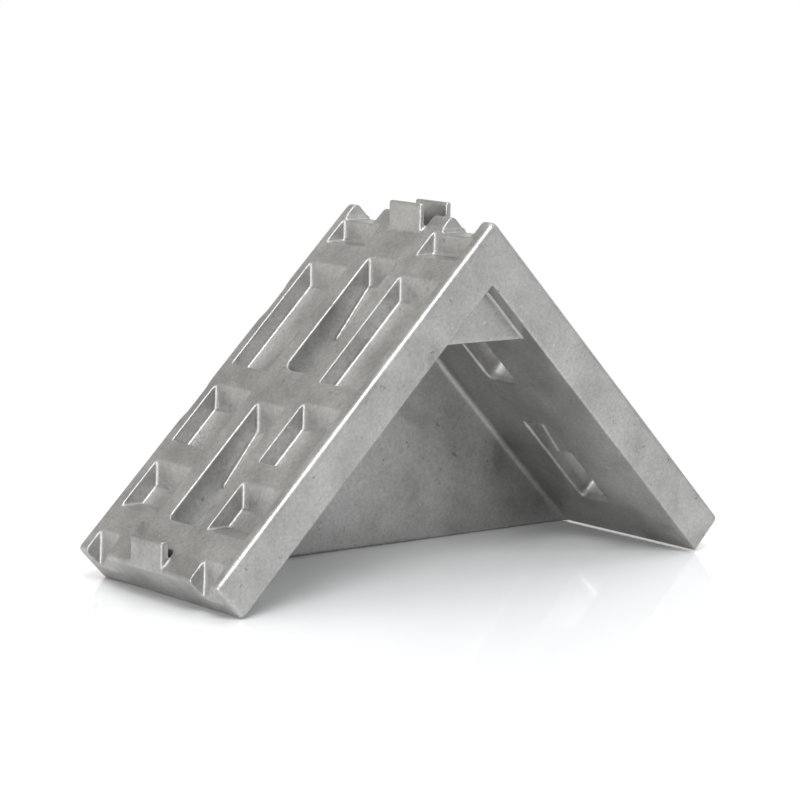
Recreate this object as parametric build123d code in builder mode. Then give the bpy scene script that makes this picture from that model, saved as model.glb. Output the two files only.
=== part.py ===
from build123d import *
import os
from math import radians, sqrt, tan

os.makedirs("parts", exist_ok=True)

# T slot corner bracket, one aluminium die casting. It stands on the feet of its two legs with
# the corner at the top. X runs from leg to leg, Y from the open side to the walled side, Z up.
# Along a leg, "run" is the distance from the sharp corner down the outer face and "depth" is
# the distance into the leg, square to that face. The die opens along Z, so the end walls of
# every pocket are upright, whatever the slope of the leg.

# overall sizes
leg_length = 88.0
foot_width = 43.9
walled_side_draft = 0.75
slot_line = 21.5
leg_thickness = 8.5

# rounding of the outside
ridge_radius = 1.3
tip_radius = 1.0
open_side_radius = 1.1
walled_side_radius = 0.9
inner_corner_radius = 1.2

# side wall closing one side of the corner, thinnest at the floor
wall_foot_thickness = 5.3
wall_draft = 1.15

# small web in the inner corner, near the open side
web_setback = 3.4
web_thickness = 4.0
web_drop = 11.2
web_draft = 1.0
web_edge_radius = 0.4

# pockets in the outer face, first and last run of each
pocket_runs = [(15.5, 41.7), (46.8, 61.0)]
foot_pocket_run = (65.7, 77.3)
pocket_width = 11.2
pocket_rim = 2.4
pocket_depth = 3.5
pocket_draft = 2.0
pocket_corner_radius = 0.6

# bolt slots: first run of the mouth, last run, corner radius at the lower end
slots = [(12.2, 40.6, 2.2), (48.7, 77.0, 1.2)]
slot_width = 8.2
slot_draft = 0.7
# the two halves of the die meet inside a slot, on a plane a little steeper than the leg
parting_depth = 4.5
parting_slope = 0.112
# a thin skin of metal is left on that plane, over the upper part of the slot
skin_length = 12.0
skin_thickness = 0.8

# notches beside the ridge and at the tips
ridge_notch_run = (4.2, 10.7)
ridge_valleys = [(-18.5, -9.6), (10.2, 19.1)]
ridge_valley_drop = 2.7
ridge_valley_step = 0.35
ridge_valley_floor_drop = 3.4
tip_notch_run = 82.8
tip_notch_width = 6.5
tip_notch_rim = 2.0
tip_notch_draft = 2.5

# nibs that drop into the groove of a profile
nib_edge_radius = 0.35
ridge_nib_width = 9.4
ridge_nib_y = 0.1
ridge_nib_x = 3.85
ridge_nib_thickness = 1.25
ridge_nib_projection = 3.95
ridge_pit_depth = 4.2
tip_nib_width = 9.8
tip_nib_y = 0.45
tip_nib_inset = 0.3
tip_nib_thickness = 1.7
tip_nib_projection = 3.65
tip_pit_length = 1.6
tip_pit_depth = 2.3

# shallow dents along the outer edge of the walled side
dent_runs = [25.8, 51.2]
dent_length = 14.8
dent_flat = 5.6
dent_depth = 0.95
dent_reach = 4.0

# derived sizes
root2 = sqrt(2)
walled_side_y = foot_width - slot_line
ridge_height = (leg_length + leg_thickness) / root2
inner_ridge_height = ridge_height - leg_thickness * root2
tip_x = leg_length / root2
tip_height = ridge_height - tip_x
foot_x = (leg_length - leg_thickness) / root2
pocket_y = slot_line - pocket_rim - pocket_width / 2
notch_y = slot_line - tip_notch_rim - tip_notch_width / 2
ridge_nib_top = ridge_height - ridge_nib_x + ridge_nib_projection * root2
tip_nib_x = tip_x - tip_nib_inset
tip_nib_top = ridge_height - tip_nib_x + tip_nib_projection * root2
margin = 3.0


def leg_plane(depth):
    """The left leg's outer face moved in by a depth: x down the leg, y to the walled side."""
    origin = (depth / root2, 0, ridge_height - depth / root2)
    return Plane(origin=origin, x_dir=(-1, 0, -1), z_dir=(1, 0, -1))


def parting_plane(first_run):
    """Where the two halves of the die meet inside the slot whose mouth starts at this run."""
    run, depth = first_run + parting_depth, parting_depth
    down = (parting_slope - 1, 0, -1 - parting_slope)
    origin = (-(run - depth) / root2, 0, ridge_height - (run + depth) / root2)
    return Plane(origin=origin, x_dir=down, z_dir=(down[2], 0, -down[0]))


def upright_pocket(run, y, width, depth):
    """A pocket of the left leg, cut along Z, with its floor parallel to the outer face."""
    with BuildPart(mode=Mode.PRIVATE) as pocket:
        for level in (-margin, depth):
            narrowing = 2 * level * tan(radians(pocket_draft))
            with BuildSketch(leg_plane(level)) as outline:
                with Locations(((run[0] + run[1]) / 2 + level, y)):
                    Rectangle(run[1] - run[0] - narrowing, width - narrowing)
                fillet(outline.vertices().group_by(Axis.X)[0], pocket_corner_radius)
        loft(ruled=True)
    return pocket.part


def slot_half(levels, upper_ends, lower_ends, widths, radius):
    """One die half of a slot: a lofted block with rounded corners, larger at its lower end."""
    with BuildPart(mode=Mode.PRIVATE) as half:
        for level, first, last, width in zip(levels, upper_ends, lower_ends, widths):
            with BuildSketch(leg_plane(level)) as outline:
                with Locations(((first + last) / 2, 0)):
                    Rectangle(last - first, width)
                fillet(outline.vertices().group_by(Axis.X)[-1], radius)
                fillet(outline.vertices().group_by(Axis.X)[0], pocket_corner_radius)
        loft(ruled=True)
    return half.part


with BuildPart() as corner_bracket:
    # the two legs, each cut off square to its own length
    with BuildSketch(Plane.XZ) as side_view:
        with BuildLine():
            Polyline(
                (0, ridge_height), (tip_x, tip_height), (foot_x, 0), (0, inner_ridge_height),
                (-foot_x, 0), (-tip_x, tip_height), close=True,
            )
        make_face()
        fillet(side_view.vertices().group_by(Axis.Y)[-1], ridge_radius)
        fillet(side_view.vertices().group_by(Axis.X)[0], tip_radius)
        fillet(side_view.vertices().group_by(Axis.X)[-1], tip_radius)
    extrude(amount=slot_line)
    extrude(side_view.sketch, amount=-walled_side_y)

    # the side wall, its inner face leaning back towards the feet
    wall_top_thickness = wall_foot_thickness + inner_ridge_height * tan(radians(wall_draft))
    with BuildPart(mode=Mode.PRIVATE) as side_wall:
        with BuildSketch(Plane.YZ):
            with BuildLine():
                Polyline(
                    (walled_side_y, 0), (walled_side_y, inner_ridge_height),
                    (walled_side_y - wall_top_thickness, inner_ridge_height),
                    (walled_side_y - wall_foot_thickness, 0), close=True,
                )
            make_face()
        extrude(amount=foot_x, both=True)
        with BuildSketch(Plane.XZ):
            with BuildLine():
                Polyline((-foot_x, 0), (0, inner_ridge_height), (foot_x, 0), close=True)
            make_face()
        extrude(amount=walled_side_y, both=True, mode=Mode.INTERSECT)
    add(side_wall.part)

    # the corners between this wall and the legs are rounded
    wall_corners = ShapeList(
        edge for edge in corner_bracket.edges()
        if abs(abs(edge.center().X) + edge.center().Z - inner_ridge_height) < 0.01
        and abs(edge.center().X) > 1 and edge.center().Y > 0 and edge.center().Z > 1
    )
    fillet(wall_corners, inner_corner_radius)

    # the walled side leans in towards the ridge, so that the casting leaves the die
    side_lean = tan(radians(walled_side_draft))
    split(bisect_by=Plane(origin=(0, walled_side_y, 0), z_dir=(0, -1, -side_lean)), keep=Keep.TOP)

    # the corner web, thinner at its lower edge, with that edge rounded
    web_foot = inner_ridge_height - web_drop
    web_front = -slot_line + web_setback
    web_lean = web_drop * tan(radians(web_draft))
    with BuildPart(mode=Mode.PRIVATE) as corner_web:
        with BuildSketch(Plane.YZ):
            with BuildLine():
                Polyline(
                    (web_front, web_foot + web_drop + margin),
                    (web_front + web_thickness, web_foot + web_drop + margin),
                    (web_front + web_thickness - web_lean, web_foot),
                    (web_front + web_lean / 4, web_foot), close=True,
                )
            make_face()
        extrude(amount=web_drop + margin, both=True)
        fillet(corner_web.edges().filter_by(Axis.X).group_by(Axis.Z)[0], web_edge_radius)
        with BuildSketch(Plane.XZ):
            with BuildLine():
                Polyline(
                    (-web_drop - margin, web_foot - margin / 2), (0, inner_ridge_height + margin / 2),
                    (web_drop + margin, web_foot - margin / 2), close=True,
                )
            make_face()
        extrude(amount=slot_line, both=True, mode=Mode.INTERSECT)
    add(corner_web.part)

    # worn-looking rounding along the outline of both side faces
    open_side = corner_bracket.faces().sort_by(Axis.Y)[0]
    inner_lines = ShapeList(
        edge for edge in open_side.edges()
        if abs(abs(edge.center().X) + edge.center().Z - inner_ridge_height) < 0.01
    )
    fillet(open_side.edges() - inner_lines, open_side_radius)
    walled_side = corner_bracket.faces().sort_by(Axis.Y)[-1]
    upper_outline = ShapeList(edge for edge in walled_side.edges() if edge.center().Z > tip_height)
    fillet(upper_outline, walled_side_radius)

    # everything the die cuts out of the left leg
    with BuildPart(mode=Mode.PRIVATE) as leg_cuts:
        for y in (-pocket_y, pocket_y):
            for run in pocket_runs:
                add(upright_pocket(run, y, pocket_width, pocket_depth))
            # the pocket nearest the foot ends on a level ledge
            with BuildPart(mode=Mode.PRIVATE) as foot_pocket:
                add(upright_pocket(foot_pocket_run, y, pocket_width, pocket_depth))
                ledge = Plane.XY.offset(ridge_height - foot_pocket_run[1] / root2)
                split(bisect_by=ledge, keep=Keep.TOP)
            add(foot_pocket.part)

        # each slot has an upright upper end at its mouth, then runs square through the leg
        for first_run, last_run, corner_radius in slots:
            parting = parting_plane(first_run)
            square_end = first_run + parting_depth
            outer_levels = (-margin, leg_thickness)
            inner_levels = (leg_thickness + margin, 0)
            slot_lean = tan(radians(slot_draft))
            with BuildPart(mode=Mode.PRIVATE) as outer_half:
                add(slot_half(
                    outer_levels,
                    [first_run + level for level in outer_levels],
                    [last_run - level * slot_lean for level in outer_levels],
                    [slot_width - 2 * level * slot_lean for level in outer_levels],
                    corner_radius,
                ))
                split(bisect_by=parting, keep=Keep.TOP)
            with BuildPart(mode=Mode.PRIVATE) as inner_half:
                add(slot_half(
                    inner_levels,
                    [square_end + (leg_thickness - level) * slot_lean for level in inner_levels],
                    [last_run - (leg_thickness - level) * slot_lean for level in inner_levels],
                    [slot_width - 2 * (leg_thickness - level) * slot_lean for level in inner_levels],
                    corner_radius,
                ))
                split(bisect_by=parting, keep=Keep.BOTTOM)
            add(outer_half.part)
            add(inner_half.part)

        # the notches at the tip, down through the end of the leg, tapering below the outer face
        notch_x = tip_notch_run / root2
        for y in (-notch_y, notch_y):
            with BuildSketch(Plane.XY.offset(ridge_height - notch_x)) as opening:
                with Locations((-notch_x, y)):
                    Rectangle(leg_thickness, tip_notch_width, align=(Align.MAX, Align.CENTER))
            extrude(opening.sketch, amount=leg_thickness)
            extrude(opening.sketch, amount=-2 * leg_thickness, taper=tip_notch_draft)

        # the pit behind the nib at the tip
        pit_floor = ridge_height - tip_nib_x + tip_nib_thickness - tip_pit_depth
        with Locations((-tip_nib_x + tip_nib_thickness, tip_nib_y, pit_floor)):
            Box(tip_pit_length, tip_nib_width - 1.4, leg_thickness, align=(Align.MIN, Align.CENTER, Align.MIN))
    add(leg_cuts.part, mode=Mode.SUBTRACT)
    mirror(leg_cuts.part, about=Plane.YZ, mode=Mode.SUBTRACT)

    # the notches beside the ridge, with level floors
    notch_floor = ridge_height - ridge_notch_run[1] / root2
    notch_x = (ridge_notch_run[0] + ridge_notch_run[1]) / root2 / 2
    notch_length = (ridge_notch_run[1] - ridge_notch_run[0]) / root2
    for side in (-1, 1):
        with BuildPart(mode=Mode.PRIVATE) as notches:
            with Locations((-notch_x, side * pocket_y, notch_floor), (notch_x, side * pocket_y, notch_floor)):
                Box(notch_length, pocket_width, leg_thickness, align=(Align.CENTER, Align.CENTER, Align.MIN))
            fillet(notches.edges().filter_by(Axis.Z), pocket_corner_radius)
        add(notches.part, mode=Mode.SUBTRACT)

    # the valleys across the ridge, each with a small step at both ends
    for first_y, last_y in ridge_valleys:
        for step, drop in ((0, ridge_valley_drop), (ridge_valley_step, ridge_valley_floor_drop)):
            with Locations((0, (first_y + last_y) / 2, ridge_height - drop)):
                Box(2 * leg_thickness, last_y - first_y - 2 * step, drop,
                    align=(Align.CENTER, Align.CENTER, Align.MIN), mode=Mode.SUBTRACT)

    # the pit in the ridge, and the two nibs standing on its sides
    with Locations((0, ridge_nib_y, ridge_height - ridge_pit_depth)):
        Box(2 * ridge_nib_x - ridge_nib_thickness, ridge_nib_width, ridge_pit_depth + margin,
            align=(Align.CENTER, Align.CENTER, Align.MIN), mode=Mode.SUBTRACT)

    # one nib on each side of the ridge and one at each tip, upright plates with eased edges
    with BuildPart(mode=Mode.PRIVATE) as left_nibs:
        for outer_x, y, top, thickness, width in (
            (ridge_nib_x, ridge_nib_y, ridge_nib_top, ridge_nib_thickness, ridge_nib_width),
            (tip_nib_x, tip_nib_y, tip_nib_top, tip_nib_thickness, tip_nib_width),
        ):
            with BuildPart(mode=Mode.PRIVATE) as nib:
                with Locations((-outer_x, y, top)):
                    Box(thickness, width, top - ridge_height + outer_x + 0.6,
                        align=(Align.MIN, Align.CENTER, Align.MAX))
                fillet(nib.edges().filter_by(Axis.Z) + nib.edges().group_by(Axis.Z)[-1], nib_edge_radius)
            add(nib.part)
    add(left_nibs.part)
    mirror(left_nibs.part, about=Plane.YZ)

    # the thin skin left across the upper part of each slot
    with BuildPart(mode=Mode.PRIVATE) as left_skins:
        for first_run, last_run, corner_radius in slots:
            with Locations(parting_plane(first_run)):
                with Locations((-1.0, 0, 0)):
                    Box(skin_length + 1.0, slot_width + 0.4, skin_thickness,
                        align=(Align.MIN, Align.CENTER, Align.CENTER))
    add(left_skins.part)
    mirror(left_skins.part, about=Plane.YZ)

    # the dents in the outer edge of the walled side
    with BuildPart(mode=Mode.PRIVATE) as left_dents:
        for run in dent_runs:
            face_y = walled_side_y - (ridge_height - run / root2) * side_lean
            ramp = (dent_length - dent_flat) / 2 / dent_depth
            with BuildPart(mode=Mode.PRIVATE) as dent:
                for level in (-1.0, dent_reach):
                    cut = dent_depth * (1 - level / dent_reach) - 0.05
                    half_flat = dent_flat / 2
                    half_span = half_flat + ramp * (cut + 1.0)
                    with BuildSketch(leg_plane(level)):
                        with BuildLine():
                            Polyline(
                                (run - half_span, face_y + 1.0), (run - half_flat, face_y - cut),
                                (run + half_flat, face_y - cut), (run + half_span, face_y + 1.0),
                                close=True,
                            )
                        make_face()
                loft(ruled=True)
            add(dent.part)
    add(left_dents.part, mode=Mode.SUBTRACT)
    mirror(left_dents.part, about=Plane.YZ, mode=Mode.SUBTRACT)

# the frame's Y is zero half way across the floor
corner_bracket.part = corner_bracket.part.moved(Location((0, slot_line - foot_width / 2, 0)))
corner_bracket.part.label = "corner_bracket"
export_step(corner_bracket.part, "parts/corner_bracket.step")
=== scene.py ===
import bpy
import bmesh
import math
from mathutils import Matrix, Vector


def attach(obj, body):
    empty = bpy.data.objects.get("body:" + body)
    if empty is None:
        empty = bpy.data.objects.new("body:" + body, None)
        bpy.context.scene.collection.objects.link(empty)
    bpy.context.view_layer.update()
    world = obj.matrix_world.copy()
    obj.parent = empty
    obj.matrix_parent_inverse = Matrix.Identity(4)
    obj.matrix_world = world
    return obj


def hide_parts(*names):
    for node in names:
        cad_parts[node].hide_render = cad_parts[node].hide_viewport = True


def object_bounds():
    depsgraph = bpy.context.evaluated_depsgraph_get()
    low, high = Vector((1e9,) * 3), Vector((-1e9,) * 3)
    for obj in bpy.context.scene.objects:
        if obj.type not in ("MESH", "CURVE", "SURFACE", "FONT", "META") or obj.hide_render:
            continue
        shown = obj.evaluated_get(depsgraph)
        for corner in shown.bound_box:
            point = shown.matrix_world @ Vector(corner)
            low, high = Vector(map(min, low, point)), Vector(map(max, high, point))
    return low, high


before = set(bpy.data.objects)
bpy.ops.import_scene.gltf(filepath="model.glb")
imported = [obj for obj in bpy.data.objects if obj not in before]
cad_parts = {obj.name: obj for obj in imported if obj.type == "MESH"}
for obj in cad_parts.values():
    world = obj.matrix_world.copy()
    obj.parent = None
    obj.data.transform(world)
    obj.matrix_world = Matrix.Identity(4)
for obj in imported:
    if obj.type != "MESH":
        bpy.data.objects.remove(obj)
cadLow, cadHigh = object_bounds()
scene = bpy.context.scene
scene.view_settings.view_transform = "Standard"


# ---------- camera, lamps and floor

cameraSet = {
    "place": (-0.37182, -0.44219, 0.11944),   # metres, in front of the open side
    "turn": 39.80, "tilt": 8.63, "roll": 1.50,  # degrees
    "lens": 137.5, "sensor": 36.0,            # millimetres
    "near": 0.05, "far": 60.0,                # metres
}


def makeCamera(part):
    turn, tilt, roll = (math.radians(part[k]) for k in ("turn", "tilt", "roll"))
    ahead = Vector((math.sin(turn) * math.cos(tilt), math.cos(turn) * math.cos(tilt), -math.sin(tilt)))
    level = Vector((math.cos(turn), -math.sin(turn), 0))
    upright = level.cross(ahead)
    right = level * math.cos(roll) + upright * math.sin(roll)
    up = upright * math.cos(roll) - level * math.sin(roll)
    data = bpy.data.cameras.new("camera")
    data.lens, data.sensor_width = part["lens"], part["sensor"]
    data.clip_start, data.clip_end = part["near"], part["far"]
    camera = bpy.data.objects.new("camera", data)
    turned = Matrix((right, up, -ahead)).transposed().to_4x4()
    camera.matrix_world = Matrix.Translation(part["place"]) @ turned
    scene.collection.objects.link(camera)
    scene.camera = camera


# name: place, size, watts; each lamp is white and looks at the middle of the bracket
lampSet = {
    "topSoftbox": ((-0.42, -0.62, 0.95), (0.55, 0.55), 8.0),
    "overheadSoftbox": ((0.25, 0.10, 1.10), (0.9, 0.9), 4.0),
    "lowSoftbox": ((-1.05, -0.55, 0.12), (0.5, 0.25), 3.5),
}


def makeLamps(part):
    middle = (cadLow + cadHigh) / 2
    for name, (place, size, watts) in part.items():
        data = bpy.data.lights.new(name, "AREA")
        data.shape = "RECTANGLE"
        data.size, data.size_y = size
        data.energy = watts
        lamp = bpy.data.objects.new(name, data)
        lamp.location = place
        lamp.rotation_euler = (middle - Vector(place)).to_track_quat("-Z", "Y").to_euler()
        scene.collection.objects.link(lamp)


class Nodes:    # short calls for adding and joining nodes
    def __init__(self, tree):
        self.tree = tree
        tree.nodes.clear()

    def add(self, kind, **values):
        node = self.tree.nodes.new(kind)
        for name, value in values.items():
            setattr(node, name, value)
        return node

    def put(self, value, socket):
        if isinstance(value, bpy.types.NodeSocket):
            self.tree.links.new(value, socket)
        else:
            socket.default_value = value

    def math(self, kind, first, second):
        node = self.add("ShaderNodeMath", operation=kind)
        self.put(first, node.inputs[0])
        self.put(second, node.inputs[1])
        return node.outputs[0]

    def blend(self, amount, low, high):
        node = self.add("ShaderNodeMix", data_type="RGBA")
        self.put(amount, node.inputs[0])
        self.put(low, node.inputs[6])
        self.put(high, node.inputs[7])
        return node.outputs[2]

    def ramp(self, value, stops, smooth=False):
        node = self.add("ShaderNodeMapRange", interpolation_type="SMOOTHSTEP" if smooth else "LINEAR")
        self.put(value, node.inputs["Value"])
        for name, stop in zip(("From Min", "From Max", "To Min", "To Max"), stops):
            node.inputs[name].default_value = stop
        return node.outputs["Result"]

    def noise(self, place, scale, detail, rough, warp=0.0):
        node = self.add("ShaderNodeTexNoise")
        self.put(place, node.inputs["Vector"])
        for name, value in (("Scale", scale), ("Detail", detail), ("Roughness", rough), ("Distortion", warp)):
            node.inputs[name].default_value = value
        return node.outputs["Fac"]

    def white(self, kind):
        node = self.add(kind)
        node.inputs["Color"].default_value = (1, 1, 1, 1)
        node.inputs["Strength"].default_value = 1.0
        return node.outputs[0]

    def pick(self, amount, first, second, ending):
        node = self.add("ShaderNodeMixShader")
        for value, socket in zip((amount, first, second), node.inputs):
            self.put(value, socket)
        self.put(node.outputs[0], self.add(ending).inputs[0])


roomSet = {
    "frontLevel": 0.85, "backLevel": 0.62,    # how bright the room is in front of and behind the bracket
    "frontColour": (0.975, 0.99, 1.0), "backColour": (1.0, 0.98, 0.945),
    "frontSpan": (0.55, -0.45),               # the way's Y, over which the back turns into the front
    "screenLevel": 1.0,                       # a white screen stands behind the table, this bright
    "screenSpan": (0.42, 0.26),               # the way's Z, over which the screen ends
}


def makeRoom(part):
    # the room glows, more in front of the open side than behind; the camera sees it white
    world = bpy.data.worlds.new("studio")
    scene.world = world
    world.use_nodes = True
    n = Nodes(world.node_tree)
    way = n.add("ShaderNodeSeparateXYZ")
    n.put(n.add("ShaderNodeTexCoord").outputs["Generated"], way.inputs[0])
    front = n.ramp(way.outputs["Y"], (*part["frontSpan"], 0, 1), True)
    level = n.ramp(front, (0, 1, part["backLevel"], part["frontLevel"]))
    screen = n.ramp(way.outputs["Z"], (*part["screenSpan"], 0, 1), True)
    screen = n.math("MULTIPLY", screen, n.math("SUBTRACT", 1.0, front))
    screen = n.math("MULTIPLY", screen, part["screenLevel"] - part["backLevel"])
    glow = n.add("ShaderNodeBackground")
    n.put(n.blend(front, (*part["backColour"], 1), (*part["frontColour"], 1)), glow.inputs["Color"])
    n.put(n.math("ADD", level, screen), glow.inputs["Strength"])
    seen = n.add("ShaderNodeLightPath").outputs["Is Camera Ray"]
    n.pick(seen, glow.outputs[0], n.white("ShaderNodeBackground"), "ShaderNodeOutputWorld")


floorSet = {
    "size": 12.0, "gap": 0.0001,              # metres; the gap lies under the feet
    "colour": (0.93, 0.935, 0.945), "roughness": 0.06,
    "whiteSpan": (0.07, 0.20),                # metres from the bracket, over which the table fades to white
}


def makeFloor(part):
    half = part["size"] / 2
    mesh = bpy.data.meshes.new("floor")
    mesh.from_pydata([(-half, -half, 0), (half, -half, 0), (half, half, 0), (-half, half, 0)], [], [(0, 1, 2, 3)])
    floor = bpy.data.objects.new("floor", mesh)
    floor.location.z = cadLow.z - part["gap"]
    scene.collection.objects.link(floor)
    paint = bpy.data.materials.new("whiteTable")
    paint.use_nodes = True
    n = Nodes(paint.node_tree)
    surface = n.add("ShaderNodeBsdfPrincipled")
    surface.inputs["Base Color"].default_value = (*part["colour"], 1)
    surface.inputs["Roughness"].default_value = part["roughness"]
    away = n.add("ShaderNodeVectorMath", operation="LENGTH")
    n.put(n.add("ShaderNodeTexCoord").outputs["Object"], away.inputs[0])
    fade = n.ramp(away.outputs["Value"], (*part["whiteSpan"], 0, 1), True)
    fade = n.math("MULTIPLY", fade, n.add("ShaderNodeLightPath").outputs["Is Camera Ray"])
    n.pick(fade, surface.outputs[0], n.white("ShaderNodeEmission"), "ShaderNodeOutputMaterial")
    mesh.materials.append(paint)


makeCamera(cameraSet)
makeRoom(roomSet)
makeFloor(floorSet)
makeLamps(lampSet)
print("camera, room, floor and lamps are set")


# ---------- cast aluminium

metalSet = {
    "grey": (0.39, 0.386, 0.378), "paleGrey": (0.51, 0.508, 0.50), "darkGrey": (0.15, 0.148, 0.142),
    "wornGrey": (0.66, 0.66, 0.655), "metallic": 0.9,
    # each noise: scale per metre, detail, roughness and, for some, distortion
    "cloud": (110, 6, 0.66), "patch": (45, 4, 0.6, 0.8), "grain": (1500, 3, 0.6), "speck": (700, 4, 0.72),
    "pitted": (160, 3, 0.6), "scuff": (420, 3, 0.7, 1.5),
    # each span: the noise's range, and what it is turned into
    "paleSpan": (0.36, 0.64, 0, 1), "stainSpan": (0.54, 0.74, 0, 0.40), "grainSpan": (0.30, 0.72, 0, 0.35),
    "pitSpan": (0.60, 0.72, 0, 1), "pittedSpan": (0.42, 0.60, 0.10, 1),
    "scuffSpan": (0.66, 0.74, 0, 1), "scuffedSpan": (0.40, 0.60, 0.2, 1), "roughSpan": (0.3, 0.7, 0.35, 0.50),
    "pitShade": 0.75, "scuffShade": 0.6,
    "cloudRise": 1.5, "grainRise": 0.5, "pitDrop": 0.8, "bumpStrength": 0.5, "bumpDistance": 0.0001,
}


def castAluminium(part):
    paint = bpy.data.materials.new("castAluminium")
    paint.use_nodes = True
    n = Nodes(paint.node_tree)
    place = n.add("ShaderNodeTexCoord").outputs["Object"]
    cloud, patch, grain, speck, pitted, scuff = (
        n.noise(place, *part[k]) for k in ("cloud", "patch", "grain", "speck", "pitted", "scuff")
    )
    base = n.blend(n.ramp(cloud, part["paleSpan"]), (*part["grey"], 1), (*part["paleGrey"], 1))
    base = n.blend(n.ramp(patch, part["stainSpan"], True), base, (*part["darkGrey"], 1))
    base = n.blend(n.ramp(grain, part["grainSpan"]), base, (*part["darkGrey"], 1))
    pits = n.math("MULTIPLY", n.ramp(speck, part["pitSpan"], True), n.ramp(pitted, part["pittedSpan"], True))
    base = n.blend(n.math("MULTIPLY", pits, part["pitShade"]), base, (*part["darkGrey"], 1))
    # short pale scuffs from the tumbler
    scuffs = n.math("MULTIPLY", n.ramp(scuff, part["scuffSpan"], True), n.ramp(patch, part["scuffedSpan"], True))
    base = n.blend(n.math("MULTIPLY", scuffs, part["scuffShade"]), base, (*part["wornGrey"], 1))
    height = n.math("MULTIPLY", grain, part["grainRise"])
    height = n.math("ADD", height, n.math("MULTIPLY", cloud, part["cloudRise"]))
    height = n.math("SUBTRACT", height, n.math("MULTIPLY", pits, part["pitDrop"]))
    bump = n.add("ShaderNodeBump")
    bump.inputs["Strength"].default_value = part["bumpStrength"]
    bump.inputs["Distance"].default_value = part["bumpDistance"]
    n.put(height, bump.inputs["Height"])
    surface = n.add("ShaderNodeBsdfPrincipled")
    n.put(base, surface.inputs["Base Color"])
    surface.inputs["Metallic"].default_value = part["metallic"]
    n.put(n.ramp(cloud, part["roughSpan"]), surface.inputs["Roughness"])
    n.put(bump.outputs[0], surface.inputs["Normal"])
    n.put(surface.outputs[0], n.add("ShaderNodeOutputMaterial").inputs[0])
    return paint


# ---------- the casting, with the soft edges that a die and a tumbler leave

castingSet = {
    "merge": 2e-6, "cell": 0.00026,           # metres
    "softening": 3, "softness": 0.5,          # rounds of smoothing, and how far each one goes
    "triangles": 185000,
}


def settle(piece):
    piece.data = bpy.data.meshes.new_from_object(piece.evaluated_get(bpy.context.evaluated_depsgraph_get()))
    piece.modifiers.clear()


def softCasting(node, part):
    mesh = node.data.copy()
    mesh.name = "casting"
    work = bmesh.new()
    work.from_mesh(mesh)
    bmesh.ops.remove_doubles(work, verts=work.verts, dist=part["merge"])
    work.to_mesh(mesh)
    work.free()
    casting = bpy.data.objects.new("casting", mesh)
    scene.collection.objects.link(casting)
    cells = casting.modifiers.new("cells", "REMESH")
    cells.mode, cells.voxel_size, cells.use_smooth_shade = "VOXEL", part["cell"], True
    soft = casting.modifiers.new("soft", "SMOOTH")
    soft.factor, soft.iterations = part["softness"], part["softening"]
    settle(casting)
    triangles = len(casting.data.polygons) * 2    # the remesh leaves faces with four sides
    thin = casting.modifiers.new("thin", "DECIMATE")
    thin.ratio = min(1.0, part["triangles"] / triangles)
    settle(casting)
    for face in casting.data.polygons:
        face.use_smooth = True
    return casting


casting = softCasting(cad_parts["corner_bracket"], castingSet)
casting.data.materials.clear()
casting.data.materials.append(castAluminium(metalSet))
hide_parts("corner_bracket")
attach(casting, "root")
print("the casting has", len(casting.data.polygons), "faces")
